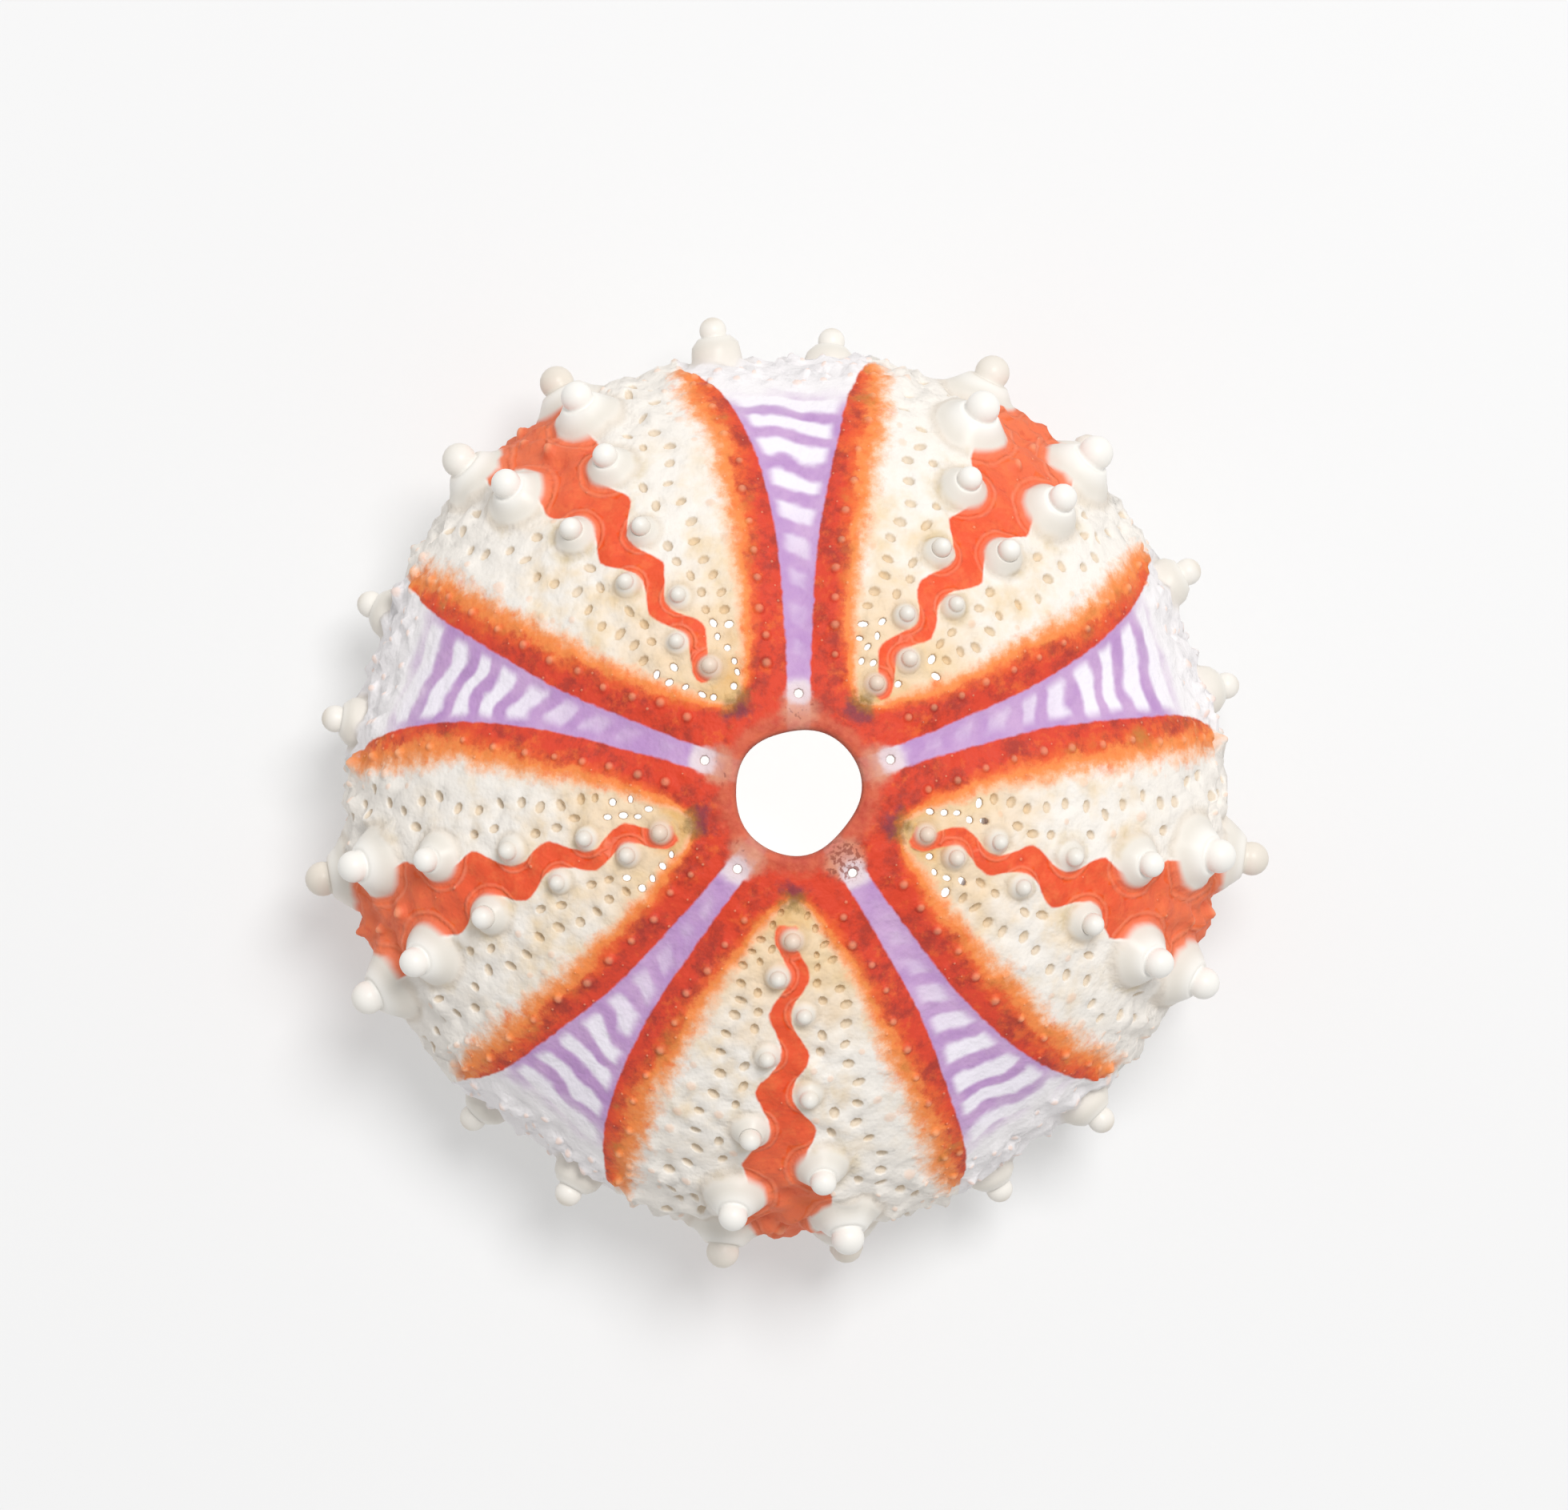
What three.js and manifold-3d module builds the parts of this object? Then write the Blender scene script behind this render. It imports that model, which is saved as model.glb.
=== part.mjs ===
// Sea urchin shell: the hollow, dried test of a small urchin with its spines gone.
// One piece grown as a thin domed wall, open at the top (periproct) and underneath (peristome),
// with rows of ball-topped tubercles fused to it. Millimetres, +Z up.
// The origin is on the resting plane, under the middle of the shell.
// Azimuth is counted clockwise from +Y, seen from above.
import * as THREE from "three";
import { mergeVertices } from "three/addons/utils/BufferGeometryUtils.js";
import Module from "manifold-3d";

const wasm = await Module();
wasm.setup();

const { degToRad, lerp, smoothstep } = THREE.MathUtils;

// Wall: driving dimensions
const AMBITUS_RADIUS = 16.9; // widest ring of the wall, without tubercles
const AMBITUS_HEIGHT = 5.45;
const APEX_HEIGHT = 15.65; // where the dome would close over the periproct
const BASE_HEIGHT = 0.45; // underside of the wall, which the lowest tubercles hold clear of the surface
const PERIPROCT_RADIUS = 2.35;
const PERISTOME_RADIUS = 8.2;
const PERISTOME_LIFT = 0.6; // the mouth's edge is drawn up into the shell
const PERISTOME_LIFT_RADIUS = 11.2; // where that lift begins
const DOME_POWER = 1.9; // superellipse powers: 2 is an ellipse, more is boxier
const BASE_POWER = 2.6;
const WALL_THICKNESS = 0.9;
const RIM_THICKNESS = 0.6; // at both openings

// Five-fold plan: rays of tubercles, with a bare sunken strip between each two rays
const RAYS = 5;
const SECTOR = 360 / RAYS;
// How far the midlines of strip, ray, strip, ray... sit from an even plan, in degrees
const MIDLINE_SKEW = [0.5, 0, -1, 0.3, 2, 2, 2, 1.5, 0.5, 1];
const TWIST = -2; // degrees that the rays swing round by the ambitus
const TWIST_FROM = 10; // wall distances from the periproct's edge
const TWIST_TO = 19;
const STRIP_DEPTH = 0.4;
const STRIP_HALF_ANGLE = 9;
const RAY_SWELL = 0.2;

// Ray tubercles: a zigzag of two columns from the top to the mouth
const RAY_TUBERCLES = 15;
const RAY_START = [2.65, 2.65, 3.1, 2.9, 3.4]; // wall distance of each ray's first tubercle
const RAY_PACE = [0.94, 0.96, 1.04, 0.98, 0.97]; // spacing of each ray's tubercles, against the mean
const RAY_LEAD = [1, 1, 1, -1, -1]; // side of each ray's second tubercle
const AMBITUS_STEP = 10; // index of the tubercle on the ambitus
const RAY_STEP = 1.42;
const RAY_STEP_GAIN = 0.024;
const BASE_STEP = 2.35;
const BASE_STEP_LOSS = 0.11;
const LARGEST_BOSS = 1.42; // radius at the foot
const SMALLEST_BOSS = 0.52;
const BOSS_SHRINK = 0.14; // per step below the ambitus

// Strip tubercles: two columns that begin at the ambitus
const STRIP_ROWS = 4;
const STRIP_START = 18.7;
const STRIP_STEP = 2.5;
const STRIP_STEP_LOSS = 0.06;
const STRIP_ANGLE = 7.6;
const STRIP_BOSS = 1.2;
const STRIP_BOSS_LOSS = 0.07; // per row away from the second, which is the largest

// Tubercle form, as shares of its foot radius
const BOSS_HEIGHT = 0.62;
const BALL_RADIUS = 0.46;
const NECK_RADIUS = 0.4;
const BALL_RISE = 0.45; // height of the ball's middle above the boss, as a share of the ball's radius
const ROOT_DEPTH = 0.45; // mm sunk in the wall
const DOME_BOSS = 0.9; // smaller tubercles than this are simple domes

const GONOPORE_RADIUS = 0.21;
const GONOPORE_PLACE = 1.33; // wall distance from the periproct's edge
const GONOPORE_LENGTH = 3;

// Faceting
const WALL_SECTORS = 50;
const OUTER_STEPS = 13;
const INNER_STEPS = 6;
const BOSS_SIDES = 6;
const DOME_SIDES = 5;

// Upper half of a superellipse from the periproct to the ambitus, then a boxier lower half
class WallOutline extends THREE.Curve {
  static firstAngle = Math.asin((PERIPROCT_RADIUS / AMBITUS_RADIUS) ** (DOME_POWER / 2));
  static lastAngle = Math.PI - Math.asin((PERISTOME_RADIUS / AMBITUS_RADIUS) ** (BASE_POWER / 2));

  getPoint(t, target = new THREE.Vector2()) {
    const angle = lerp(WallOutline.firstAngle, WallOutline.lastAngle, t);
    const upper = angle < Math.PI / 2;
    const power = 2 / (upper ? DOME_POWER : BASE_POWER);
    const reach = upper ? APEX_HEIGHT - AMBITUS_HEIGHT : BASE_HEIGHT - AMBITUS_HEIGHT;
    const radius = AMBITUS_RADIUS * Math.sin(angle) ** power;
    const height = AMBITUS_HEIGHT + reach * Math.abs(Math.cos(angle)) ** power;
    const drawn = upper ? 0 : 1 - smoothstep(radius, PERISTOME_RADIUS, PERISTOME_LIFT_RADIUS);
    return target.set(radius, height + PERISTOME_LIFT * drawn);
  }
}

const outline = new WallOutline();
const wallLength = outline.getLength();

// A repeatable stray value from -1 to 1, for the unevenness of a grown thing
function stray(ray, index, kind) {
  const wave = Math.sin(ray * 12.9898 + index * 78.233 + kind * 37.719) * 43758.5453;
  return 2 * (wave - Math.floor(wave)) - 1;
}

// Point and outward direction on the outline, at a distance along the wall from the periproct's edge
function outlineAt(distance) {
  const share = THREE.MathUtils.clamp(distance / wallLength, 0, 1);
  const point = outline.getPointAt(share);
  const along = outline.getTangentAt(share);
  return { point, outward: new THREE.Vector2(-along.y, along.x) };
}

// Real azimuth, in degrees, of a place given in the even five-fold plan
function azimuthOf(planAngle, distance) {
  const halfSector = SECTOR / 2;
  const place = THREE.MathUtils.euclideanModulo(planAngle, 360) / halfSector;
  const before = Math.floor(place);
  const skew = lerp(
    MIDLINE_SKEW[before % MIDLINE_SKEW.length],
    MIDLINE_SKEW[(before + 1) % MIDLINE_SKEW.length],
    smoothstep(place - before, 0, 1),
  );
  return planAngle + skew + TWIST * smoothstep(distance, TWIST_FROM, TWIST_TO);
}

// How far the wall swells along the rays and sinks along the bare strips
function relief(planAngle, distance) {
  const fromStrip = planAngle - SECTOR * Math.round(planAngle / SECTOR);
  const onDome = smoothstep(distance, 1, 6) * (1 - smoothstep(distance, 17, 23));
  const sunk = Math.exp(-((fromStrip / STRIP_HALF_ANGLE) ** 2));
  const swelling = 0.5 - 0.5 * Math.cos(degToRad(fromStrip * RAYS));
  return onDome * (RAY_SWELL * swelling - STRIP_DEPTH * sunk);
}

// Point on the outer wall, raised along its outward direction
function wallPoint(planAngle, distance, raised = 0) {
  const { point, outward } = outlineAt(distance);
  const azimuth = degToRad(azimuthOf(planAngle, distance));
  const height = relief(planAngle, distance) + raised;
  const radius = point.x + outward.x * height;
  return new THREE.Vector3(
    radius * Math.sin(azimuth),
    radius * Math.cos(azimuth),
    point.y + outward.y * height,
  );
}

function wallDirection(planAngle, distance) {
  const { outward } = outlineAt(distance);
  const azimuth = degToRad(azimuthOf(planAngle, distance));
  return new THREE.Vector3(
    outward.x * Math.sin(azimuth),
    outward.x * Math.cos(azimuth),
    outward.y,
  );
}

// A closed three.js geometry as a solid for joining and cutting
function solidOf(geometry) {
  const bare = geometry.clone();
  bare.deleteAttribute("normal");
  bare.deleteAttribute("uv");
  const merged = mergeVertices(bare, 1e-4);
  return new wasm.Manifold(
    new wasm.Mesh({
      numProp: 3,
      vertProperties: merged.getAttribute("position").array,
      triVerts: new Uint32Array(merged.index.array),
    }),
  );
}

function geometryOf(solid) {
  const mesh = solid.getMesh();
  const geometry = new THREE.BufferGeometry();
  geometry.setAttribute("position", new THREE.BufferAttribute(mesh.vertProperties, 3));
  geometry.setIndex(new THREE.BufferAttribute(mesh.triVerts, 1));
  geometry.computeVertexNormals();
  return geometry;
}

// Wall thickness, thinner towards both openings
function thicknessAt(distance) {
  const fromEdge = Math.min(distance, wallLength - distance);
  return lerp(RIM_THICKNESS, WALL_THICKNESS, smoothstep(fromEdge, 0, 4));
}

// The hollow wall: a closed section turned round the axis, then drawn out to the five-fold plan
function wallGeometry() {
  const places = [];
  for (let i = 0; i <= OUTER_STEPS; i++) {
    places.push({ distance: (wallLength * i) / OUTER_STEPS, depth: 0 });
  }
  for (let i = INNER_STEPS; i >= 0; i--) {
    const distance = (wallLength * i) / INNER_STEPS;
    places.push({ distance, depth: thicknessAt(distance) });
  }
  places.push(places[0]);
  places.reverse();
  const section = places.map(({ distance }) => outlineAt(distance).point);
  const geometry = new THREE.LatheGeometry(section, WALL_SECTORS);
  const position = geometry.getAttribute("position");
  for (let i = 0; i < position.count; i++) {
    const column = Math.floor(i / places.length) % WALL_SECTORS;
    const { distance, depth } = places[i % places.length];
    const planAngle = 180 - (360 * column) / WALL_SECTORS;
    const point = wallPoint(planAngle, distance, -depth);
    position.setXYZ(i, point.x, point.y, point.z);
  }
  return geometry;
}

// A concave boss under a ball, or for a small tubercle a simple dome, standing on Z = 0
function tubercleGeometry(boss) {
  const ball = BALL_RADIUS * boss;
  const bossTop = BOSS_HEIGHT * boss;
  const ballMiddle = bossTop + BALL_RISE * ball;
  const tip = ballMiddle + ball;
  const dome = boss < DOME_BOSS;
  const section = dome
    ? [
        [0, -ROOT_DEPTH],
        [boss, -ROOT_DEPTH],
        [boss, 0],
        [ball, bossTop],
        [0, tip],
      ]
    : [
        [0, -ROOT_DEPTH],
        [boss, -ROOT_DEPTH],
        [boss, 0],
        [NECK_RADIUS * boss, bossTop],
        [ball, ballMiddle + 0.3 * ball],
        [0, tip],
      ];
  const points = section.map(([radius, height]) => new THREE.Vector2(radius, height));
  return new THREE.LatheGeometry(points, dome ? DOME_SIDES : BOSS_SIDES).rotateX(Math.PI / 2);
}

// A tubercle set square on the wall
function tubercleSolid({ planAngle, distance, boss }) {
  const upright = new THREE.Vector3(0, 0, 1);
  const turn = new THREE.Quaternion().setFromUnitVectors(upright, wallDirection(planAngle, distance));
  const place = wallPoint(planAngle, distance);
  const geometry = tubercleGeometry(boss).applyQuaternion(turn).translate(place.x, place.y, place.z);
  return solidOf(geometry);
}

// Wall distance of a ray's tubercle: steps widen towards the ambitus and close up below it
function rayDistance(ray, index) {
  const down = Math.min(index, AMBITUS_STEP);
  const under = Math.max(index - AMBITUS_STEP, 0);
  const onDome = RAY_PACE[ray] * (RAY_STEP * down + RAY_STEP_GAIN * down ** 2);
  return RAY_START[ray] + onDome + BASE_STEP * under - BASE_STEP_LOSS * under ** 2;
}

function rayTubercles() {
  const found = [];
  for (let ray = 0; ray < RAYS; ray++) {
    for (let index = 0; index < RAY_TUBERCLES; index++) {
      const distance = rayDistance(ray, index) + 0.08 * stray(ray, index, 1);
      const above = Math.min(index, AMBITUS_STEP);
      const below = Math.max(index - AMBITUS_STEP, 0);
      const grown = smoothstep(above, 2.5, 9);
      const boss = lerp(SMALLEST_BOSS, LARGEST_BOSS, grown) - BOSS_SHRINK * below;
      const aside = Math.min(0.42 + 0.02 * index + 0.026 * index ** 2, 2.3);
      const side = index === 0 ? 0 : RAY_LEAD[ray] * (index % 2 ? 1 : -1);
      const turned = (side * aside) / outlineAt(distance).point.x;
      const planAngle = SECTOR * (ray + 0.5) + THREE.MathUtils.radToDeg(turned);
      found.push({ planAngle, distance, boss: boss * (1 + 0.05 * stray(ray, index, 2)) });
    }
  }
  return found.filter(({ distance, boss }) => distance + boss < wallLength);
}

function stripTubercles() {
  const found = [];
  for (let strip = 0; strip < RAYS; strip++) {
    for (const side of [-1, 1]) {
      const lag = side > 0 ? STRIP_STEP / 2 : 0;
      for (let row = 0; row < STRIP_ROWS; row++) {
        const distance = STRIP_START + lag + STRIP_STEP * row - STRIP_STEP_LOSS * row ** 2;
        const boss = STRIP_BOSS - STRIP_BOSS_LOSS * Math.abs(row - 1);
        found.push({ planAngle: SECTOR * strip + side * STRIP_ANGLE, distance, boss });
      }
    }
  }
  return found.filter(({ distance, boss }) => distance + boss < wallLength);
}

// The five egg pores at the top, one at the head of each strip
function gonoporeSolid(strip) {
  const planAngle = SECTOR * strip;
  const upright = new THREE.Vector3(0, 1, 0);
  const turn = new THREE.Quaternion().setFromUnitVectors(
    upright,
    wallDirection(planAngle, GONOPORE_PLACE),
  );
  const place = wallPoint(planAngle, GONOPORE_PLACE);
  const drill = new THREE.CylinderGeometry(
    GONOPORE_RADIUS,
    GONOPORE_RADIUS,
    GONOPORE_LENGTH,
    DOME_SIDES,
  );
  return solidOf(drill.applyQuaternion(turn).translate(place.x, place.y, place.z));
}

// What lies under the resting plane is worn away, which leaves small flats on the lowest tubercles
function restingCut() {
  const side = 4 * AMBITUS_RADIUS;
  const depth = 4;
  return solidOf(new THREE.BoxGeometry(side, side, depth).translate(0, 0, -depth / 2));
}

function shellGeometry() {
  let shell = solidOf(wallGeometry());
  for (const tubercle of [...rayTubercles(), ...stripTubercles()]) {
    shell = shell.add(tubercleSolid(tubercle));
  }
  for (let strip = 0; strip < RAYS; strip++) {
    shell = shell.subtract(gonoporeSolid(strip));
  }
  return geometryOf(shell.subtract(restingCut()));
}

const shellMaterial = new THREE.MeshStandardMaterial({
  color: 0xece2d6,
  roughness: 0.55,
  metalness: 0,
});

const shell = new THREE.Mesh(shellGeometry(), shellMaterial);
shell.name = "shell";

const seaUrchin = new THREE.Group();
seaUrchin.add(shell);

export default seaUrchin;
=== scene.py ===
import math
from collections import namedtuple

import bpy
import numpy as np
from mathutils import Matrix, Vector
from mathutils.geometry import delaunay_2d_cdt


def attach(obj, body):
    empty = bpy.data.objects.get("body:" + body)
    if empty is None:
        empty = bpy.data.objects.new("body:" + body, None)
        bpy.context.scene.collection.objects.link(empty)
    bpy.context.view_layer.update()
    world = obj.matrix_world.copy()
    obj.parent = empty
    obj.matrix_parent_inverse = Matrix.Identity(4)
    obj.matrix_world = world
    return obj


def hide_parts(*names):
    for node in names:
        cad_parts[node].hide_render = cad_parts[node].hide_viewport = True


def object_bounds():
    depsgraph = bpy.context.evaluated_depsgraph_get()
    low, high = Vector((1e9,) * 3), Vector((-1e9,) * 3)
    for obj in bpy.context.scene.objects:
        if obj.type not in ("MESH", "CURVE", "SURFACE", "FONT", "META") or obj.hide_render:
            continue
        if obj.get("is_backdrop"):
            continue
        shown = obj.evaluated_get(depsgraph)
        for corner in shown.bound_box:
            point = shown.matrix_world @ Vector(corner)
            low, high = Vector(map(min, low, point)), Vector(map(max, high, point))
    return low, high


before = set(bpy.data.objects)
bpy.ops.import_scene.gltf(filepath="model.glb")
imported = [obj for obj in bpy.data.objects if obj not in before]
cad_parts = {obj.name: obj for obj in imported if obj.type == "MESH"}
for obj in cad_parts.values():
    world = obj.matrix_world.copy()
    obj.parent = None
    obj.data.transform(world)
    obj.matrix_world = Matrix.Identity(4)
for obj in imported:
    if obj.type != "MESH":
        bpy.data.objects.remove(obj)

CAD_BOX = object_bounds()

MM = 0.001
rng = np.random.default_rng(11)

# Wall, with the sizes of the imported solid
AMBITUS_RADIUS = 16.9
AMBITUS_HEIGHT = 5.45
APEX_HEIGHT = 15.65
BASE_HEIGHT = 0.45
PERIPROCT_RADIUS = 2.35
PERISTOME_RADIUS = 8.2
PERISTOME_LIFT = 0.6
PERISTOME_LIFT_RADIUS = 11.2
DOME_POWER = 1.9
BASE_POWER = 2.6
WALL_THICKNESS = 0.9
RIM_THICKNESS = 0.6

# Five-fold plan
RAYS = 5
SECTOR = 360.0 / RAYS
MIDLINE_SKEW = (0.5, 0.0, -1.0, 0.3, 2.0, 2.0, 2.0, 1.5, 0.5, 1.0)
TWIST = -2.0
TWIST_FROM = 10.0
TWIST_TO = 19.0
STRIP_DEPTH = 0.4
STRIP_HALF_ANGLE = 9.0
RAY_SWELL = 0.2

# Edges of the two openings: unevenness of the top hole, and ten gill notches round the mouth
PERIPROCT_WAVES = ((2, 45.0, 0.07), (3, 65.0, 0.06), (5, 20.0, 0.03))  # count, crest in degrees, height
PERIPROCT_WAVE_SPAN = 1.0
PERIPROCT_SET_BACK = 0.2
GILL_NOTCH_DEPTH = 0.45
GILL_NOTCH_ANGLE = 17.0
GILL_NOTCH_WIDTH = 3.6
GILL_NOTCH_SPAN = 1.5

# Uneven crust of the pale plates: small waves in many directions
CRUST_HEIGHT = 0.05
CRUST_HEIGHT_AT_AMBITUS = 0.13
CRUST_WAVES = 9
CRUST_LENGTHS = (0.75, 1.5)

# Tubercles
RAY_TUBERCLES = 15
RAY_START = (2.65, 2.65, 3.1, 2.9, 3.4)
RAY_PACE = (0.94, 0.96, 1.04, 0.98, 0.97)
RAY_LEAD = (1, 1, 1, -1, -1)
AMBITUS_STEP = 10
RAY_STEP = 1.42
RAY_STEP_GAIN = 0.024
BASE_STEP = 2.35
BASE_STEP_LOSS = 0.11
LARGEST_BOSS = 1.42
SMALLEST_BOSS = 0.52
BOSS_SHRINK = 0.14
STRIP_ROWS = 4
STRIP_START = 18.7
STRIP_STEP = 2.5
STRIP_STEP_LOSS = 0.06
STRIP_ANGLE = 7.6
STRIP_BOSS = 1.2
STRIP_BOSS_LOSS = 0.07
RAY_FOOT = 1.12  # reach of the rounded foot, as a share of the boss
WIDE_FOOT_GAIN = 0.08
STRIP_FOOT = 0.955
STEEP_REACH = 0.8  # nearer the middle than this, a boss keeps its section whatever its foot

# Section of a tubercle from its foot to its tip, as shares of the boss radius: boss, low shoulder, ball
BALL_RADIUS = 0.46
SMALL_BALL_GAIN = 0.13  # small tubercles have the larger balls for their size
TIP_HEIGHT = 1.26
BOSS_SECTION = (
    (RAY_FOOT, 0.0), (1.03, 0.03), (0.97, 0.095), (0.89, 0.2), (0.80, 0.31), (0.71, 0.415),
    (0.64, 0.49), (0.59, 0.545), (0.555, 0.575), (0.51, 0.592), (0.455, 0.585),
)
BALL_ANGLES = (-22, -8, 8, 24, 41, 58, 75)
RING_WIDTH = 0.14  # of the ring round a foot
RING_WIDTH_GAIN = 0.12

# Pores
GONOPORE_RADIUS = 0.2
GONOPORE_PLACE = 1.33
PORE_RADIUS = 0.22
PORE_LIP = 1.18  # reach of the rounded lip, as a share of the pore
PORE_FLARE = 1.1  # width of its lower end, as a share of the pore
THROUGH_BEFORE = 5.0  # pores nearer the top than this go right through the wall
BLIND_RAY = 2  # its pores are pits all the way up
PORE_PIT_DEPTH = 0.3
PORES_FROM = 2.15
PORES_BEFORE_MOUTH = 1.4
PORE_STEP = 0.3
PORE_STEP_GAIN = 0.07
LARGEST_PORE_STEP = 0.9
PORE_CLEARANCE = 0.22  # between a boss and the pores beside it
PAIR_SPAN = 0.42
PAIR_SPAN_GAIN = 0.48
TOP_PORE_SHARE = 0.68
LOW_PORE_GAIN = 0.3
PORE_FROM_BAND = 0.2
PORE_FROM_MIDLINE = 0.25
PORE_SPACING = 0.02

# Granules: sections as shares of the radius and height, and sizes
GRANULE_FOOT = 1.2
KNOB_SECTION = ((GRANULE_FOOT, 0.0), (1.0, 0.06), (0.78, 0.4), (0.55, 0.62), (0.42, 0.82), (0.22, 0.97))
GRAIN_SECTION = ((GRANULE_FOOT, 0.0), (0.7, 0.68))
BAND_KNOB_RADIUS = (0.19, 0.27)
BAND_KNOB_HEIGHT = 0.75
BAND_KNOB_PLACE = (0.42, 0.6)  # across the band, from the lilac to the cream
BAND_KNOB_STEP = 0.95
BAND_KNOB_STEP_GAIN = 0.045
BAND_END = 17.6
RIBBON_KNOB_RADIUS = (0.24, 0.36)
RIBBON_KNOB_HEIGHT = 0.8
RIBBON_KNOBS_FROM = 5

# Natural markings, as half widths in millimetres at distances along the wall from the top hole
LILAC_HALF_WIDTH = (
    (0, 0.42), (3, 0.47), (4.6, 0.58), (6.2, 0.67), (7.8, 0.82), (9.6, 1.14),
    (11.4, 1.52), (13.5, 2.05), (14.8, 2.44), (16.4, 3.1), (18, 3.8),
)
CREAM_HALF_WIDTH = (
    (1.7, 0), (2.3, 0.8), (3.1, 1.2), (4.6, 2.14), (6.2, 2.92), (7.4, 3.45),
    (9.6, 4.3), (11.4, 4.95), (13.5, 5.36), (16.4, 5.95), (18.4, 6.4), (30, 6.4),
)
FRINGE_WIDTH = (
    (1.5, 0.3), (3.6, 0.5), (5.5, 0.58), (7.8, 0.75), (10, 0.85), (12.4, 0.95), (14, 1.0), (30, 1.0),
)
CREAM_TIP = 1.75
RIBBON_LEAST_HALF_WIDTH = 0.37
GENITAL_PLATE_PLACE = 0.75
DUSK_PLACE = 1.55  # the dark blotch above the tip of each ray
SIEVE_PLACE = (144.0, 0.75)  # middle of the madreporite: plan angle and distance

# Faceting
DOME_GRAIN = 0.46
BASE_GRAIN = 0.62
RIBBON_GRAIN = 0.24  # along the middle of the rays, where the coral ribbon winds
RIBBON_GRAIN_END = 20.0
INNER_GRAIN = 1.0
EDGE_CLEARANCE = 0.25
INNER_EDGE_CLEARANCE = 0.4
HOLE_CLEARANCE = 0.3
TOP_RING = 72
MOUTH_RING = 150
RIM_TURNS = (45, 90, 135)
RIM_BULGE = 0.6  # of the edge of an opening, as a share of half its thickness
RIM_PALENESS = 0.2
PORE_SIDES = 8
SEEN_BEFORE = 20.0  # tubercles further down have fewer faces
LARGE_BOSS = 0.75
FULL_SIDES = 26
PLAIN_SIDES = 18
SKIPPED_RINGS = (3, 5, 8, 12, 14)


def smoothstep(value, low, high):
    share = np.clip((value - low) / (high - low), 0.0, 1.0)
    return share * share * (3.0 - 2.0 * share)


# Wall surface

def outline_table():
    """Distance along the wall, radius, height and outward direction, from the top hole to the mouth."""
    start_radius = PERIPROCT_RADIUS - 0.6
    first = math.asin((start_radius / AMBITUS_RADIUS) ** (DOME_POWER / 2))
    last = math.pi - math.asin((PERISTOME_RADIUS / AMBITUS_RADIUS) ** (BASE_POWER / 2))
    angle = np.linspace(first, last, 8001)
    upper = angle < math.pi / 2
    power = np.where(upper, 2 / DOME_POWER, 2 / BASE_POWER)
    reach = np.where(upper, APEX_HEIGHT - AMBITUS_HEIGHT, BASE_HEIGHT - AMBITUS_HEIGHT)
    radius = AMBITUS_RADIUS * np.sin(angle) ** power
    height = AMBITUS_HEIGHT + reach * np.abs(np.cos(angle)) ** power
    drawn = np.where(upper, 0.0, 1.0 - smoothstep(radius, PERISTOME_RADIUS, PERISTOME_LIFT_RADIUS))
    height = height + PERISTOME_LIFT * drawn
    steps = np.hypot(np.diff(radius), np.diff(height))
    distance = np.concatenate([[0.0], np.cumsum(steps)])
    distance = distance - np.interp(PERIPROCT_RADIUS, radius[upper], distance[upper])
    along_r = np.gradient(radius, distance)
    along_z = np.gradient(height, distance)
    size = np.hypot(along_r, along_z)
    return distance, radius, height, -along_z / size, along_r / size


TABLE_S, TABLE_R, TABLE_Z, TABLE_NR, TABLE_NZ = outline_table()
WALL_LENGTH = TABLE_S[-1]
# Logarithm of the radius at which the wall opens out flat with its angles kept
TABLE_FLAT = np.concatenate([[0.0], np.cumsum(np.diff(TABLE_S) * 2 / (TABLE_R[1:] + TABLE_R[:-1]))])


def radius_at(s):
    return np.interp(s, TABLE_S, TABLE_R)


def thickness_at(s):
    from_edge = np.minimum(s, WALL_LENGTH - s)
    return RIM_THICKNESS + (WALL_THICKNESS - RIM_THICKNESS) * smoothstep(from_edge, 0.0, 4.0)


def from_strip(plan):
    """Degrees from the midline of the nearest bare strip."""
    return plan - SECTOR * np.round(plan / SECTOR)


def azimuth_of(plan, s):
    place = np.mod(plan, 360.0) / (SECTOR / 2)
    before = np.floor(place).astype(int)
    skew = np.array(MIDLINE_SKEW)
    low = skew[before % len(skew)]
    high = skew[(before + 1) % len(skew)]
    turned = low + (high - low) * smoothstep(place - before, 0.0, 1.0)
    return plan + turned + TWIST * smoothstep(s, TWIST_FROM, TWIST_TO)


def relief(plan, s):
    aside = from_strip(plan)
    on_dome = smoothstep(s, 1.0, 6.0) * (1.0 - smoothstep(s, 17.0, 23.0))
    sunk = np.exp(-((aside / STRIP_HALF_ANGLE) ** 2))
    swelling = 0.5 - 0.5 * np.cos(np.radians(aside * RAYS))
    return on_dome * (RAY_SWELL * swelling - STRIP_DEPTH * sunk)


def edge_shift(plan, s):
    """How far the uneven edges of the openings draw the wall along itself."""
    top = PERIPROCT_SET_BACK
    for count, crest, height in PERIPROCT_WAVES:
        top = top + height * np.cos(np.radians(count * (plan - crest)))
    near_top = 1.0 - smoothstep(s, 0.0, PERIPROCT_WAVE_SPAN)
    off_notch = np.abs(np.abs(from_strip(plan)) - GILL_NOTCH_ANGLE) / GILL_NOTCH_WIDTH
    near_mouth = smoothstep(s, WALL_LENGTH - GILL_NOTCH_SPAN, WALL_LENGTH)
    return top * near_top - GILL_NOTCH_DEPTH * np.exp(-off_notch ** 2) * near_mouth


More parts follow.
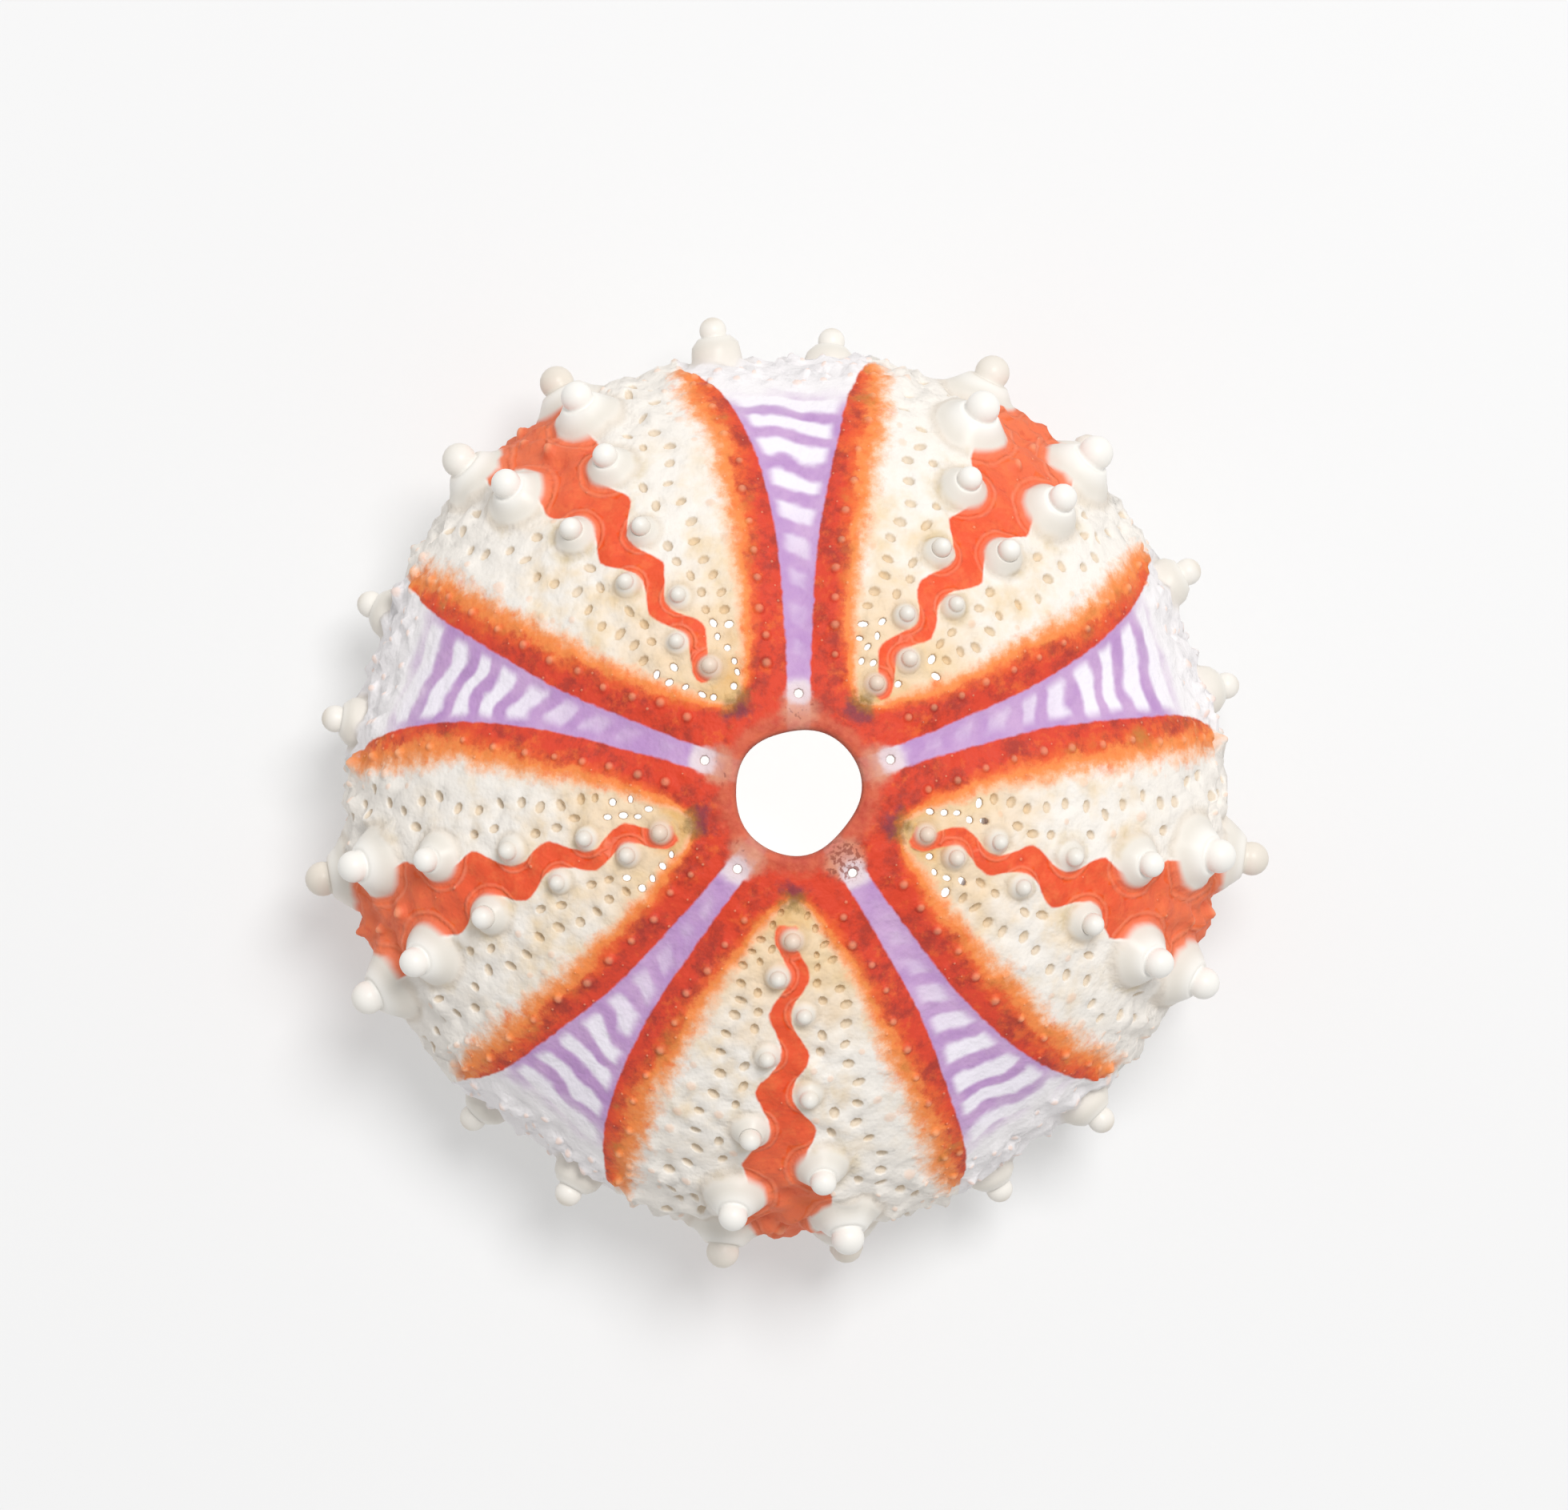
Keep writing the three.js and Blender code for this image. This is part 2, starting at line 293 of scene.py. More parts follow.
def crust_waves():
    draw = np.random.default_rng(5)
    directions = draw.normal(size=(CRUST_WAVES, 3))
    directions = directions / np.linalg.norm(directions, axis=1)[:, None]
    lengths = draw.uniform(*CRUST_LENGTHS, CRUST_WAVES)
    return directions * (2 * math.pi / lengths)[:, None], draw.uniform(0, 2 * math.pi, CRUST_WAVES)


CRUST_TURNS, CRUST_STARTS = crust_waves()


def crust(plan, s, points):
    """Small unevenness of the pale plates, strongest round the ambitus."""
    waves = np.sin(points @ CRUST_TURNS.T + CRUST_STARTS).sum(axis=-1) / math.sqrt(CRUST_WAVES / 2)
    pale = np.maximum(1.0 - smoothstep(cream_edge(plan, s), -0.5, 0.1), smoothstep(s, 14.5, 17.0))
    at_ambitus = smoothstep(s, 12.5, 17.0) * (1.0 - smoothstep(s, 22.0, 26.0))
    height = CRUST_HEIGHT + (CRUST_HEIGHT_AT_AMBITUS - CRUST_HEIGHT) * at_ambitus
    within = smoothstep(s, 2.0, 3.5) * (1.0 - smoothstep(s, WALL_LENGTH - 2.0, WALL_LENGTH - 0.6))
    return height * waves * pale * within


def wall_points(plan, s, raised=0.0):
    plan, s = np.broadcast_arrays(np.asarray(plan, float), np.asarray(s, float))
    shifted = s + edge_shift(plan, s)
    radius = np.interp(shifted, TABLE_S, TABLE_R)
    height = np.interp(shifted, TABLE_S, TABLE_Z)
    out_r = np.interp(shifted, TABLE_S, TABLE_NR)
    out_z = np.interp(shifted, TABLE_S, TABLE_NZ)
    turn = np.radians(azimuth_of(plan, s))
    smooth = np.stack([radius * np.sin(turn), radius * np.cos(turn), height], axis=-1)
    rise = relief(plan, s) + crust(plan, s, smooth) + raised
    reach = radius + out_r * rise
    return np.stack([reach * np.sin(turn), reach * np.cos(turn), height + out_z * rise], axis=-1)


def even_points(plan, s):
    """Places on the even outline, without skew, relief or crust, for measuring gaps between features."""
    turn = np.radians(plan)
    radius = radius_at(s)
    return np.stack([radius * np.sin(turn), radius * np.cos(turn), np.interp(s, TABLE_S, TABLE_Z)], axis=-1)


def flat_points(plan, s):
    """Places on the wall opened out flat, where nearby shapes keep their angles."""
    reach = np.exp(np.interp(s, TABLE_S, TABLE_FLAT))
    turn = np.radians(plan)
    return np.stack([reach * np.sin(turn), reach * np.cos(turn)], axis=-1)


def ring_places(plan, s, across, along):
    """Plan angles and distances of points given by offsets in millimetres from a place on the wall."""
    return plan + np.degrees(across / radius_at(s)), s + along


# Markings

KNOT_GRID = np.linspace(-2.0, WALL_LENGTH + 2.0, 801)


def smooth_line(knots):
    """Widths through a few knots, with the corners at the knots rounded off."""
    places, widths = zip(*knots)
    window = np.hanning(33)
    padded = np.pad(np.interp(KNOT_GRID, places, widths), 16, mode="edge")
    return np.convolve(padded, window / window.sum(), mode="valid")


LILAC_LINE = smooth_line(LILAC_HALF_WIDTH)
CREAM_LINE = smooth_line(CREAM_HALF_WIDTH)
FRINGE_LINE = smooth_line(FRINGE_WIDTH)


def knotted(line, s):
    return np.interp(s, KNOT_GRID, line)


def off_strip(plan, s):
    return np.radians(np.abs(from_strip(plan))) * radius_at(s)


def off_ray(plan, s):
    return np.radians(SECTOR / 2 - np.abs(from_strip(plan))) * radius_at(s)


def lilac_edge(plan, s):
    """Millimetres inside the edge of the lilac strip."""
    return knotted(LILAC_LINE, s) - off_strip(plan, s)


def cream_edge(plan, s):
    """Depth inside the red band from its pale outer edge, in widths of the fringe there."""
    sideways = off_ray(plan, s) - knotted(CREAM_LINE, s)
    above_tip = np.maximum(CREAM_TIP - s, 0.0)
    depth = np.where(above_tip > 0, np.hypot(np.maximum(sideways, 0.0), above_tip), sideways)
    return depth / knotted(FRINGE_LINE, s)


def ray_index(ray, s):
    """Step number, with its fraction, of a distance down a ray."""
    steps = np.arange(-2, RAY_TUBERCLES + 3)
    return np.interp(s, [ray_distance(ray, step) for step in steps], steps)


def zigzag_edge(plan, s):
    """Millimetres inside the edge of the coral ribbon, which winds between the two columns of a ray."""
    ray = np.floor(np.mod(plan, 360.0) / SECTOR).astype(int) % RAYS
    step = np.zeros_like(s)
    for number in range(RAYS):
        step = np.where(ray == number, ray_index(number, s), step)
    lead = np.array(RAY_LEAD)[ray]
    aside = np.radians(np.mod(plan, SECTOR) - SECTOR / 2) * radius_at(s) * lead
    offset = column_offset(np.maximum(step, 1.0))
    boss = mean_boss(step)
    wide = offset + 0.15 - 0.2 * smoothstep(step, 4.0, 8.0)
    narrow = offset - (0.95 - 0.5 * smoothstep(step, 4.0, 8.0)) * boss
    by_odd = (0.5 + 0.5 * np.cos(math.pi * (step - 1.0))) ** 0.8
    by_even = (0.5 + 0.5 * np.cos(math.pi * step)) ** 0.8
    closing = 1.0 - smoothstep(s, 23.0, 27.0)
    odd_limit = wide + (narrow - wide) * by_odd
    even_limit = wide + (narrow - wide) * by_even
    half_width = np.maximum((odd_limit + even_limit) / 2, RIBBON_LEAST_HALF_WIDTH) * closing
    below_start = (step + 0.3) * 1.2
    return np.minimum(half_width - np.abs(aside - (odd_limit - even_limit) / 2), below_start)


# Places of the tubercles

Tubercle = namedtuple("Tubercle", "plan s boss foot")


def stray(ray, index, kind):
    """A repeatable number between -1 and 1."""
    wave = math.sin(ray * 12.9898 + index * 78.233 + kind * 37.719) * 43758.5453
    return 2.0 * (wave - math.floor(wave)) - 1.0


def ray_distance(ray, index):
    down = min(index, AMBITUS_STEP)
    under = max(index - AMBITUS_STEP, 0)
    on_dome = RAY_PACE[ray] * (RAY_STEP * down + RAY_STEP_GAIN * down ** 2)
    return RAY_START[ray] + on_dome + BASE_STEP * under - BASE_STEP_LOSS * under ** 2


def column_offset(index):
    return np.minimum(0.42 + 0.02 * index + 0.026 * index ** 2, 2.3)


def column_side(ray, index):
    return RAY_LEAD[ray] * (1 if index % 2 else -1)


def mean_boss(index):
    grown = smoothstep(np.minimum(index, AMBITUS_STEP), 2.5, 9.0)
    boss = SMALLEST_BOSS + (LARGEST_BOSS - SMALLEST_BOSS) * grown
    return boss - BOSS_SHRINK * np.maximum(index - AMBITUS_STEP, 0)


def boss_radius(ray, index):
    return float(mean_boss(index) * (1 + 0.05 * stray(ray, index, 2)))


def ray_foot(index):
    """Reach of a foot as a share of its boss: bosses near the ambitus spread into the plate."""
    return RAY_FOOT + WIDE_FOOT_GAIN * smoothstep(index, 5.0, 7.5) * (1.0 - smoothstep(index, 10.5, 12.0))


def ray_tubercles():
    found = []
    for ray in range(RAYS):
        for index in range(RAY_TUBERCLES):
            s = ray_distance(ray, index) + 0.08 * stray(ray, index, 1)
            aside = float(column_offset(index)) * column_side(ray, index) if index else 0.0
            plan = SECTOR * (ray + 0.5) + math.degrees(aside / radius_at(s))
            found.append(Tubercle(plan, s, boss_radius(ray, index), float(ray_foot(index))))
    return [each for each in found if each.s + each.boss < WALL_LENGTH]


def strip_tubercles():
    found = []
    for strip in range(RAYS):
        for side in (-1, 1):
            lag = STRIP_STEP / 2 if side > 0 else 0.0
            for row in range(STRIP_ROWS):
                s = STRIP_START + lag + STRIP_STEP * row - STRIP_STEP_LOSS * row ** 2
                boss = STRIP_BOSS - STRIP_BOSS_LOSS * abs(row - 1)
                found.append(Tubercle(SECTOR * strip + side * STRIP_ANGLE, s, boss, STRIP_FOOT))
    return [each for each in found if each.s + each.boss < WALL_LENGTH]


# Places of the pores

Pore = namedtuple("Pore", "plan s across along tilt through")


def egg_pores():
    """One round hole through the wall at the top of each strip."""
    plans = [SECTOR * strip for strip in range(RAYS)]
    return [Pore(plan, GONOPORE_PLACE, GONOPORE_RADIUS, GONOPORE_RADIUS, 0.0, True) for plan in plans]


def ray_pores():
    """Pairs of tube-foot pores down both sides of each ray, bowed outwards round every tubercle."""
    found = []
    for ray in range(RAYS):
        for side in (-1, 1):
            s = PORES_FROM + 0.1 * rng.uniform(-1, 1)
            while s < WALL_LENGTH - PORES_BEFORE_MOUTH:
                found.extend(pore_pair(ray, side, s))
                s += min(PORE_STEP + PORE_STEP_GAIN * s, LARGEST_PORE_STEP)
    return found


def pore_pair(ray, side, s):
    """The pores at one distance down one side of a ray: two, or up to four near the top."""
    found = []
    step = float(ray_index(ray, s))
    beside = 0.5 + 0.5 * math.cos(math.pi * (step - (1 if side == RAY_LEAD[ray] else 0)))
    boss = float(mean_boss(max(step, 0.0)))
    offset = float(column_offset(step)) if step > 0.5 else 0.15
    inner = offset + PORE_CLEARANCE + boss * (0.62 + (float(ray_foot(step)) - 0.58) * beside)
    outer = inner + PAIR_SPAN + PAIR_SPAN_GAIN * smoothstep(s, 3.0, 8.0)
    size = PORE_RADIUS * (TOP_PORE_SHARE + LOW_PORE_GAIN * smoothstep(s, 3.0, 7.0))
    places = [(inner, 0.15, 0.75), (outer, -0.15, 1.35)]
    if s < THROUGH_BEFORE:
        places.extend([(outer + 0.38, -0.25, 1.35), (inner - 0.36, 0.2, 0.8)])
    for aside, lower, flat in places:
        place = s + lower + 0.06 * rng.uniform(-1, 1)
        room = knotted(CREAM_LINE, place) - PORE_FROM_BAND
        if aside > room + PORE_FROM_MIDLINE or aside < PORE_FROM_MIDLINE:
            continue
        aside = min(aside, room) + 0.05 * rng.uniform(-1, 1)
        plan = SECTOR * (ray + 0.5) + side * math.degrees(aside / radius_at(place))
        across = size * flat ** 0.5 * rng.uniform(0.85, 1.15)
        along = size / flat ** 0.5 * rng.uniform(0.85, 1.15)
        through = place < THROUGH_BEFORE and ray != BLIND_RAY
        found.append(Pore(plan, place, across, along, rng.uniform(-0.5, 0.5), through))
    return found


# Places of the granules

Granule = namedtuple("Granule", "plan s radius height sides kind")


class Occupied:
    """Discs of the wall that are already taken by a feature."""

    def __init__(self):
        self.centres = np.zeros((0, 3))
        self.radii = np.zeros(0)

    def free(self, plan, s, radius, margin=0.1):
        gaps = np.linalg.norm(self.centres - even_points(plan, s), axis=1) - self.radii
        return not len(gaps) or gaps.min() > radius + margin

    def take(self, plan, s, radius):
        self.centres = np.vstack([self.centres, even_points(plan, s)[None]])
        self.radii = np.append(self.radii, radius)


def band_granules():
    """One raised granule near the middle of the red band on each plate beside a strip."""
    for strip in range(RAYS):
        for side in (-1, 1):
            s = 2.5 + rng.uniform(0.0, 0.5)
            while s < BAND_END:
                lilac = knotted(LILAC_LINE, s)
                cream = math.radians(SECTOR / 2) * radius_at(s) - knotted(CREAM_LINE, s)
                aside = lilac + (cream - lilac) * rng.uniform(*BAND_KNOB_PLACE)
                plan = SECTOR * strip + side * math.degrees(aside / radius_at(s))
                radius = rng.uniform(*BAND_KNOB_RADIUS)
                yield Granule(plan, s, radius, BAND_KNOB_HEIGHT * radius, 9, "knob")
                s += BAND_KNOB_STEP + BAND_KNOB_STEP_GAIN * s + rng.uniform(-0.1, 0.1)


def ribbon_knobs():
    """Secondary tubercles on the coral ribbon, from where the ray widens to the mouth."""
    for ray in range(RAYS):
        for index in range(RIBBON_KNOBS_FROM, RAY_TUBERCLES):
            s = (ray_distance(ray, index) + ray_distance(ray, index + 1)) / 2
            radius = rng.uniform(*RIBBON_KNOB_RADIUS)
            aside = -0.35 * column_side(ray, index) * rng.uniform(0.2, 1.0)
            plan = SECTOR * (ray + 0.5) + math.degrees(aside / radius_at(s))
            yield Granule(plan, s, radius, RIBBON_KNOB_HEIGHT * radius, 12, "knob")


def scattered(count, s_low, s_high, wanted, small, large, height, sides):
    """Granules strewn where a test on the plan angle and distance says so, evenly over the wall's area."""
    weights = radius_at(np.linspace(s_low, s_high, 200))
    places = np.linspace(s_low, s_high, 200)
    rows = rng.choice(places, size=count, p=weights / weights.sum()) + rng.uniform(-0.08, 0.08, count)
    plans = rng.uniform(0.0, 360.0, count)
    radii = small + (large - small) * rng.uniform(0.0, 1.0, count) ** 1.6
    keep = wanted(plans, rows)
    for plan, s, radius in zip(plans[keep], rows[keep], radii[keep]):
        yield Granule(plan, s, radius, height * radius, sides, "grain")


def on_band(plan, s):
    return (lilac_edge(plan, s) < -0.08) & (cream_edge(plan, s) > 0.2)


def on_ribbon(plan, s):
    return zigzag_edge(plan, s) > 0.08


def on_pale(plan, s):
    return (cream_edge(plan, s) < -0.1) & (zigzag_edge(plan, s) < -0.1)


def on_side(plan, s):
    return (zigzag_edge(plan, s) < 0.0) & ((lilac_edge(plan, s) < -0.2) | (s > 15.5))


def all_granules(taken):
    """Every granule that finds room among the tubercles, pores and earlier granules."""
    sources = (
        ribbon_knobs(),
        band_granules(),
        scattered(2600, 14.5, WALL_LENGTH - 0.8, on_side, 0.12, 0.26, 0.75, 7),
        scattered(1500, 3.0, 14.5, on_pale, 0.16, 0.32, 0.3, 7),
        scattered(1500, 2.0, 17.5, on_band, 0.05, 0.09, 0.9, 5),
        scattered(700, 4.0, 24.0, on_ribbon, 0.05, 0.1, 0.9, 5),
    )
    kept = []
    for source in sources:
        for granule in source:
            span = GRANULE_FOOT * granule.radius
            if granule.s + span < WALL_LENGTH - 0.3 and taken.free(granule.plan, granule.s, span):
                taken.take(granule.plan, granule.s, span)
                kept.append(granule)
    return kept


# The mesh

class ShellMesh:
    """Points with their places on the wall and their marks, and triangles between them."""

    def __init__(self):
        self.position = []
        self.plan = []
        self.s = []
        self.marks = {"pore": [], "grain": [], "boss": [], "inside": []}
        self.triangles = []
        self.count = 0

    def add(self, plan, s, position, **marks):
        position = np.atleast_2d(position)
        size = len(position)
        self.position.append(position)
        self.plan.append(np.broadcast_to(plan, size))
        self.s.append(np.broadcast_to(s, size))
        for name, values in self.marks.items():
            values.append(np.broadcast_to(float(marks.get(name, 0.0)), size))
        self.count += size
        return np.arange(self.count - size, self.count)

    def join(self, outer, inner):
        """Triangles between two rings of as many points, the first one lying outside the second."""
        outer_next = np.roll(outer, -1)
        inner_next = np.roll(inner, -1)
        self.triangles.append(np.stack([outer, outer_next, inner_next], axis=1))
        self.triangles.append(np.stack([outer, inner_next, inner], axis=1))

    def join_all(self, rings):
        for outer, inner in zip(rings, rings[1:]):
            self.join(outer, inner)

    def cap(self, ring, tip):
        self.triangles.append(np.stack([ring, np.roll(ring, -1), np.full(len(ring), tip[0])], axis=1))

    def arrays(self):
        marks = {name: np.concatenate(values) for name, values in self.marks.items()}
        return (
            np.concatenate(self.position),
            np.concatenate(self.plan),
            np.concatenate(self.s),
            marks,
            np.concatenate(self.triangles),
        )


def placed(name, data):
    """A new object of the scene."""
    made = bpy.data.objects.new(name, data)
    bpy.context.scene.collection.objects.link(made)
    return made


def turns_of(sides):
    return np.linspace(0.0, 2.0 * math.pi, sides, endpoint=False)


def wall_frame(plan, s):
    """Place, sideways, downward and outward directions of the smooth outline there."""
    turn = math.radians(float(azimuth_of(np.array(plan), np.array(s))))
    out_r = float(np.interp(s, TABLE_S, TABLE_NR))
    out_z = float(np.interp(s, TABLE_S, TABLE_NZ))
    outward = np.array([out_r * math.sin(turn), out_r * math.cos(turn), out_z])
    sideways = np.array([math.cos(turn), -math.sin(turn), 0.0])
    return wall_points(plan, s), sideways, np.cross(outward, sideways), outward


def add_tubercle(mesh, tubercle):
    plan, s, boss, foot = tubercle
    full = s < SEEN_BEFORE and boss > LARGE_BOSS
    turns = turns_of(FULL_SIDES if full else PLAIN_SIDES)
    ball = BALL_RADIUS + SMALL_BALL_GAIN * (1.0 - smoothstep(boss, 0.5, 1.2))
    section = [point for point in BOSS_SECTION if point[0] > ball - 0.02]
    for angle in np.radians(BALL_ANGLES):
        section.append((ball * math.cos(angle), TIP_HEIGHT - ball + ball * math.sin(angle)))
    if not full:
        section = [point for number, point in enumerate(section) if number not in SKIPPED_RINGS]
    place, sideways, downward, outward = wall_frame(plan, s)
    rings = []
    for reach, height in section:
        if reach > STEEP_REACH:
            reach = STEEP_REACH + (reach - STEEP_REACH) * (foot - STEEP_REACH) / (RAY_FOOT - STEEP_REACH)
        across = boss * reach * np.cos(turns)
        along = boss * reach * np.sin(turns)
        ring_plan, ring_s = ring_places(plan, s, across, along)
        on_wall = wall_points(ring_plan, ring_s, boss * height)
        stiff = place + np.outer(across, sideways) + np.outer(along, downward) + boss * height * outward
        share = smoothstep(height, 0.0, 0.3)
        position = on_wall + (stiff - on_wall) * share
        position[:, 2] = np.maximum(position[:, 2], 0.0)
        rings.append(mesh.add(ring_plan, ring_s, position, boss=boss * (1.0 - reach)))
    tip_place = place + boss * TIP_HEIGHT * outward
    tip_place[2] = max(tip_place[2], 0.0)
    tip = mesh.add(plan, s, tip_place, boss=boss)
    mesh.join_all(rings)
    mesh.cap(rings[-1], tip)
    return rings[0]


def oval(pore, share):
    turns = turns_of(PORE_SIDES)
    across = share * pore.across * np.cos(turns)
    along = share * pore.along * np.sin(turns)
    turned_across = across * math.cos(pore.tilt) - along * math.sin(pore.tilt)
    turned_along = across * math.sin(pore.tilt) + along * math.cos(pore.tilt)
    return ring_places(pore.plan, pore.s, turned_across, turned_along)


def add_pore(mesh, pore):
    """A pit or, near the top, the outer half of a hole. Returns its rim and the ring it ends in."""
    rings = []
    # the pore mark grows with depth, and sets how much painted shade darkens the pit
    for share, raised, mark in ((PORE_LIP, 0.0, 0.0), (1.0, -0.03, 0.35), (0.85, -0.12, 0.8)):
        plan, s = oval(pore, share)
        rings.append(mesh.add(plan, s, wall_points(plan, s, raised), pore=mark))
    mesh.join_all(rings)
    if not pore.through:
        floor = mesh.add(pore.plan, pore.s, wall_points(pore.plan, pore.s, -PORE_PIT_DEPTH), pore=1.0)
        mesh.cap(rings[-1], floor)
    return rings[0], rings[-1]


def inner_points(plan, s):
    return wall_points(plan, s, -thickness_at(s))


def inner_distance(radius):
    """Distance along the dome at which the inner surface has a given radius."""
    dome = TABLE_S < 12.0
    inner = TABLE_R - TABLE_NR * thickness_at(np.maximum(TABLE_S, 0.0))
    return np.interp(radius, inner[dome], TABLE_S[dome])


def add_inner_end(mesh, pore):
    """The lower end of a hole: its oval dropped straight down to the inner surface."""
    plan, s = oval(pore, PORE_FLARE)
    drop = inner_distance(radius_at(s))
    # its pore mark carries the pits' painted shade down to the lower end of the hole
    return mesh.add(plan, drop, inner_points(plan, drop), pore=0.8, inside=1.0)


def add_granule(mesh, granule):
    section = KNOB_SECTION if granule.kind == "knob" else GRAIN_SECTION
    turns = turns_of(granule.sides) + granule.plan
    rings = []
    for reach, height in section:
        across = granule.radius * reach * np.cos(turns)
        along = granule.radius * reach * np.sin(turns)
        plan, s = ring_places(granule.plan, granule.s, across, along)
        rings.append(mesh.add(plan, s, wall_points(plan, s, granule.height * height), grain=height))
    tip = mesh.add(granule.plan, granule.s, wall_points(granule.plan, granule.s, granule.height), grain=1.0)
    mesh.join_all(rings)
    mesh.cap(rings[-1], tip)
    return rings[0]


def strewn_places(first, last, grain):
    """Rows of loosely spaced places that fill the wall between two distances."""
    plans = []
    distances = []
    s = first
    while s < last:
        number = int(2 * math.pi * radius_at(s) / grain)
        plan = (np.arange(number) + rng.uniform(0, 1)) * 360.0 / number
        jitter = 0.22 * grain
        plans.append(plan + np.degrees(rng.uniform(-jitter, jitter, number) / radius_at(s)))
        distances.append(s + rng.uniform(-jitter, jitter, number))
        s += 0.87 * grain
    return np.concatenate(plans), np.concatenate(distances)


def cleared(plan, s, taken, grain):
    """Which strewn places keep clear of every feature."""
    points = even_points(plan, s)
    keep = np.ones(len(plan), bool)
    for centre, radius in zip(taken.centres, taken.radii):
        near = np.abs(points[:, 2] - centre[2]) < radius + grain
        gap = np.linalg.norm(points[near] - centre, axis=1)
        keep[near] &= gap > radius + 0.45 * grain
    return keep


def stretch_skin(mesh, loose, loops, open_loops, flipped):
    """Triangles over loose points and closed loops. What lies within an open loop is left out."""
    index = np.concatenate([loose] + loops)
    owner = np.full(mesh.count, -1)
    for number, loop in enumerate(loops):
        if number in open_loops:
            owner[loop] = number
    plan = np.concatenate(mesh.plan)[index]
    s = np.concatenate(mesh.s)[index]
    where = {point: place for place, point in enumerate(index.tolist())}
    edges = []
    for loop in loops:
        ring = [where[point] for point in loop.tolist()]
        edges.extend(zip(ring, ring[1:] + ring[:1]))
    flat = [Vector(point) for point in flat_points(plan, s).tolist()]
    points, _, faces, origins, _, _ = delaunay_2d_cdt(flat, edges, [], 0, 1e-9)
    if len(points) != len(index):
        raise RuntimeError("features of the wall overlap")
    source = np.array([origin[0] for origin in origins])
    corners = index[source[np.array(faces)]]
    owners = owner[corners]
    filled = (owners[:, 0] >= 0) & (owners[:, 0] == owners[:, 1]) & (owners[:, 0] == owners[:, 2])
    corners = corners[~filled]
    mesh.triangles.append(corners[:, ::-1] if flipped else corners)


def add_rim(mesh, plan, s, towards, outer, inner):
    """The rounded edge of an opening, between its outer and inner rings."""
    half = float(thickness_at(s)) / 2
    edge = wall_points(plan, s)
    probe = 0.1
    rings = [outer]
    for degrees in RIM_TURNS:
        turn = math.radians(degrees)
        bulge = RIM_BULGE * half * math.sin(turn)
        points = wall_points(plan, s, -half * (1 - math.cos(turn)))
        if towards > 0:
            moved = (edge - wall_points(plan, s - probe)) * bulge / probe
        else:
            moved = wall_points(plan, s - bulge) - edge
        rings.append(mesh.add(plan, s, points + moved, inside=RIM_PALENESS * turn / math.pi))
    rings.append(inner)
    mesh.join_all(rings if towards > 0 else rings[::-1])


def build_shell():
    mesh = ShellMesh()
    taken = Occupied()
    tubercles = ray_tubercles() + strip_tubercles()
    for each in tubercles:
        taken.take(each.plan, each.s, each.foot * each.boss)
    pores = egg_pores()
    for pore in pores:
        taken.take(pore.plan, pore.s, PORE_LIP * pore.across)
    for pore in ray_pores():
        span = PORE_LIP * max(pore.across, pore.along)
        if taken.free(pore.plan, pore.s, span, PORE_SPACING):
            taken.take(pore.plan, pore.s, span)
            pores.append(pore)
    granules = all_granules(taken)

    loops = [add_tubercle(mesh, each) for each in tubercles]
    holes = []
    for pore in pores:
        rim, end = add_pore(mesh, pore)
        loops.append(rim)
        if pore.through:
            holes.append((pore, end))
    loops.extend(add_granule(mesh, each) for each in granules)

    top_plan = np.degrees(turns_of(TOP_RING))
    mouth_plan = np.degrees(turns_of(MOUTH_RING))
    top = mesh.add(top_plan, 0.0, wall_points(top_plan, 0.0))
    mouth = mesh.add(mouth_plan, WALL_LENGTH, wall_points(mouth_plan, WALL_LENGTH))
    loose = []
    for first, last, grain, fine in (
        (EDGE_CLEARANCE, RIBBON_GRAIN_END, DOME_GRAIN, False),
        (RIBBON_GRAIN_END, WALL_LENGTH - EDGE_CLEARANCE, BASE_GRAIN, False),
        (CREAM_TIP, RIBBON_GRAIN_END, RIBBON_GRAIN, True),
    ):
        plan, s = strewn_places(first, last, grain)
        by_ribbon = (zigzag_edge(plan, s) > -1.2 * DOME_GRAIN) & (s > CREAM_TIP) & (s < RIBBON_GRAIN_END)
        keep = cleared(plan, s, taken, grain) & (by_ribbon == fine)
        loose.append(mesh.add(plan[keep], s[keep], wall_points(plan[keep], s[keep])))
    loose = np.concatenate(loose)
    loops.extend([top, mouth])
    stretch_skin(mesh, loose, loops, range(len(loops) - 1), False)

    inner_loops = []
    inner_taken = Occupied()
    for pore, end in holes:
        lower = add_inner_end(mesh, pore)
        mesh.join(end, lower)
        inner_loops.append(lower)
        inner_taken.take(pore.plan, float(inner_distance(radius_at(pore.s))), pore.across)
    inner_top = mesh.add(top_plan, 0.0, inner_points(top_plan, 0.0), inside=1.0)
    inner_mouth = mesh.add(mouth_plan, WALL_LENGTH, inner_points(mouth_plan, WALL_LENGTH), inside=1.0)
    plan, s = strewn_places(INNER_EDGE_CLEARANCE, WALL_LENGTH - INNER_EDGE_CLEARANCE, INNER_GRAIN)
    keep = cleared(plan, s, inner_taken, HOLE_CLEARANCE)
    inner = mesh.add(plan[keep], s[keep], inner_points(plan[keep], s[keep]), inside=1.0)
    inner_loops.extend([inner_top, inner_mouth])
    stretch_skin(mesh, inner, inner_loops, range(len(inner_loops) - 1), True)
    add_rim(mesh, top_plan, 0.0, -1, top, inner_top)
    add_rim(mesh, mouth_plan, WALL_LENGTH, 1, mouth, inner_mouth)
    return mesh, tubercles


